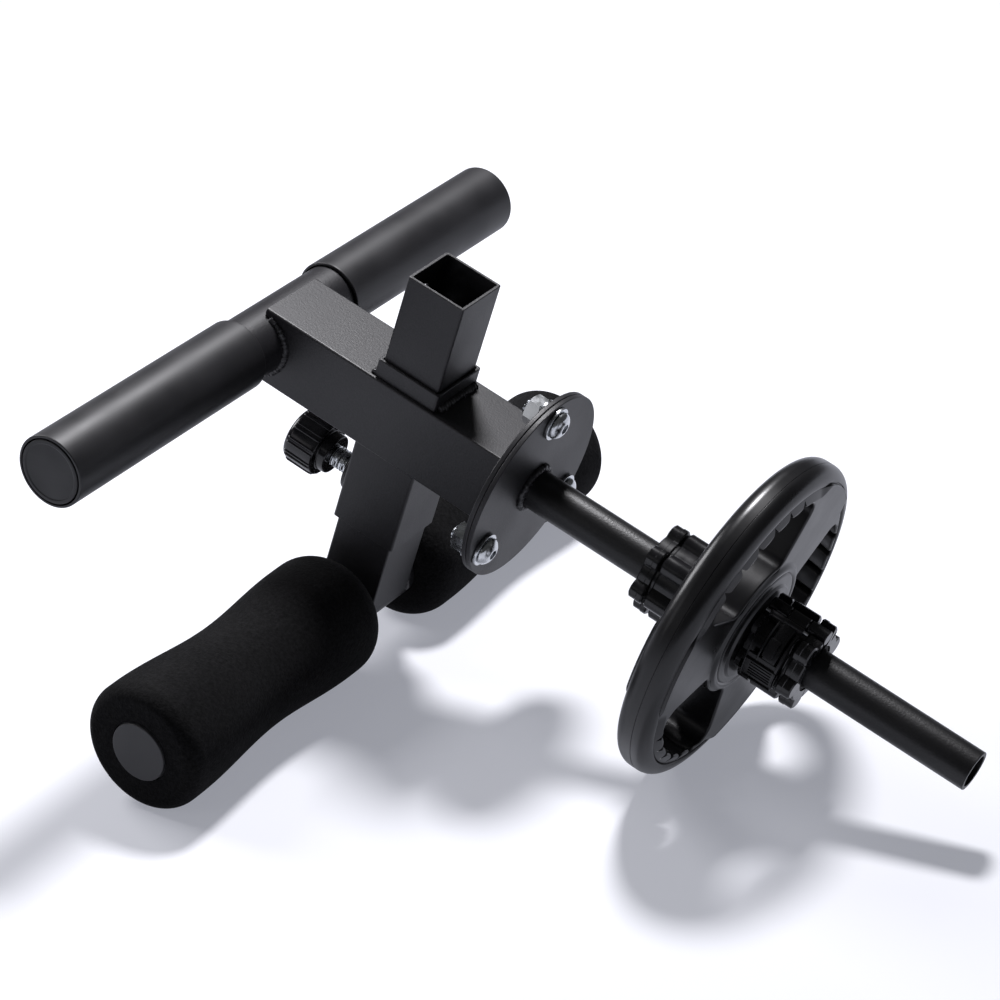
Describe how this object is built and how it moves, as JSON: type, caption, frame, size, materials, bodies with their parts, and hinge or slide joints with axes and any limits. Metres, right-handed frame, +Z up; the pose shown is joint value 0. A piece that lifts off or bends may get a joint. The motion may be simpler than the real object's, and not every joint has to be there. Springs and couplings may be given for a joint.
{
  "type": "tibialis raise machine",
  "caption": "Foot-held frame for shin raises: foam rollers on a height-adjustable post, a heel bar, and a bolted-on weight post with a grip plate held between clamping collars.",
  "frame": {"origin": "centre of the object's bounding box, on the floor that it stands on", "axes": "+X from the heel bar towards the weight post's free end, +Y to the left of someone who looks that way, +Z up"},
  "size_m": [0.4991, 0.4476, 0.2752],
  "materials": {
    "powder_coat": "fine-textured matte black powder coat on steel tube and plate",
    "heel_sleeve": "smooth black plastic with a soft sheen",
    "bar_cap": "matte black plastic",
    "roller_cap": "matte dark grey plastic",
    "foam": null,
    "zinc": "bright zinc plating",
    "steel": "bare turned steel",
    "plate_rubber": "cast iron under a thin semi-gloss black rubber coat",
    "gloss_plastic": "glossy black moulded plastic",
    "collar_pad": "soft matte black rubber"
  },
  "bodies": {
    "frame": {"main_beam": "powder_coat", "heel_bar": "powder_coat", "heel_bar_cap_left": "bar_cap", "heel_bar_cap_right": "bar_cap", "guide_sleeve": "powder_coat", "lock_boss": "powder_coat", "lock_barrel": "zinc", "lock_spring": "steel", "beam_flange": "powder_coat", "post_flange": "powder_coat", "weight_post": "powder_coat", "flange_bolt_1": "zinc", "flange_bolt_2": "zinc", "flange_bolt_3": "zinc", "head_washer_1": "zinc", "head_washer_2": "zinc", "head_washer_3": "zinc", "nut_washer_1": "zinc", "nut_washer_2": "zinc", "nut_washer_3": "zinc", "flange_nut_1": "zinc", "flange_nut_2": "zinc", "flange_nut_3": "zinc"},
    "roller_carriage": {"roller_post": "powder_coat", "roller_bar": "powder_coat", "roller_bar_cap_left": "roller_cap", "roller_bar_cap_right": "roller_cap"},
    "left_roller": {"foam_roller_left": "foam"},
    "right_roller": {"foam_roller_right": "foam"},
    "left_sleeve": {"heel_sleeve_left": "heel_sleeve"},
    "right_sleeve": {"heel_sleeve_right": "heel_sleeve"},
    "spring_pin": {"lock_pin": "steel"},
    "pull_knob": {"lock_knob": "gloss_plastic"},
    "inner_collar": {"inner_collar_body": "gloss_plastic", "inner_collar_body_pad": "collar_pad", "inner_collar_hinge_pin": "steel"},
    "inner_jaw": {"inner_collar_jaw": "gloss_plastic", "inner_collar_jaw_pad": "collar_pad", "inner_collar_lever_pin": "steel"},
    "inner_lever": {"inner_collar_lever": "gloss_plastic"},
    "outer_collar": {"outer_collar_body": "gloss_plastic", "outer_collar_body_pad": "collar_pad", "outer_collar_hinge_pin": "steel"},
    "outer_jaw": {"outer_collar_jaw": "gloss_plastic", "outer_collar_jaw_pad": "collar_pad", "outer_collar_lever_pin": "steel"},
    "outer_lever": {"outer_collar_lever": "gloss_plastic"},
    "plate_carrier": {"plate_bushing": "steel"},
    "plate": {"weight_plate": "plate_rubber"}
  },
  "joints": [
    {"name": "roller_height", "type": "slide", "parent": "frame", "child": "roller_carriage", "axis": [0.3234, 0, 0.9463], "range_m": [-0.144, 0.024]},
    {"name": "left_roller_spin", "type": "hinge", "parent": "roller_carriage", "child": "left_roller", "pos_m": [-0.17646, 0, 0.041], "axis": [0, 1, 0], "continuous": true},
    {"name": "right_roller_spin", "type": "hinge", "parent": "roller_carriage", "child": "right_roller", "pos_m": [-0.17646, 0, 0.041], "axis": [0, 1, 0], "continuous": true},
    {"name": "left_sleeve_spin", "type": "hinge", "parent": "frame", "child": "left_sleeve", "pos_m": [-0.22715, 0, 0.20839], "axis": [0, 1, 0], "continuous": true},
    {"name": "right_sleeve_spin", "type": "hinge", "parent": "frame", "child": "right_sleeve", "pos_m": [-0.22715, 0, 0.20839], "axis": [0, 1, 0], "continuous": true},
    {"name": "lock_pull", "type": "slide", "parent": "frame", "child": "spring_pin", "axis": [-0.9463, 0, 0.3234], "range_m": [-0.008, 0.002]},
    {"name": "lock_turn", "type": "hinge", "parent": "spring_pin", "child": "pull_knob", "pos_m": [-0.18199, 0, 0.12532], "axis": [-0.9463, 0, 0.3234], "continuous": true},
    {"name": "inner_collar_slide", "type": "slide", "parent": "frame", "child": "inner_collar", "axis": [0.9463, 0, -0.3234], "range_m": [-0.078, 0.03]},
    {"name": "plate_slide", "type": "slide", "parent": "inner_collar", "child": "plate_carrier", "axis": [0.9463, 0, -0.3234], "range_m": [0, 0.035]},
    {"name": "plate_spin", "type": "hinge", "parent": "plate_carrier", "child": "plate", "pos_m": [0.08947, 0, 0.10018], "axis": [0.9463, 0, -0.3234], "continuous": true},
    {"name": "outer_collar_slide", "type": "slide", "parent": "plate_carrier", "child": "outer_collar", "axis": [0.9463, 0, -0.3234], "range_m": [0, 0.04]},
    {"name": "outer_jaw_hinge", "type": "hinge", "parent": "outer_collar", "child": "outer_jaw", "pos_m": [0.13173, 0.00194, 0.1091], "axis": [-0.9463, 0, 0.3234], "range_deg": [0, 25]},
    {"name": "outer_lever_hinge", "type": "hinge", "parent": "outer_jaw", "child": "outer_lever", "pos_m": [0.13271, -0.00866, 0.11198], "axis": [-0.9463, 0, 0.3234], "range_deg": [0, 85]},
    {"name": "inner_jaw_hinge", "type": "hinge", "parent": "inner_collar", "child": "inner_jaw", "pos_m": [0.05848, 0.01818, 0.12422], "axis": [0.9463, 0, -0.3234], "range_deg": [0, 25]},
    {"name": "inner_lever_hinge", "type": "hinge", "parent": "inner_jaw", "child": "inner_lever", "pos_m": [0.05601, 0.02611, 0.11698], "axis": [0.9463, 0, -0.3234], "range_deg": [0, 85]}
  ]
}
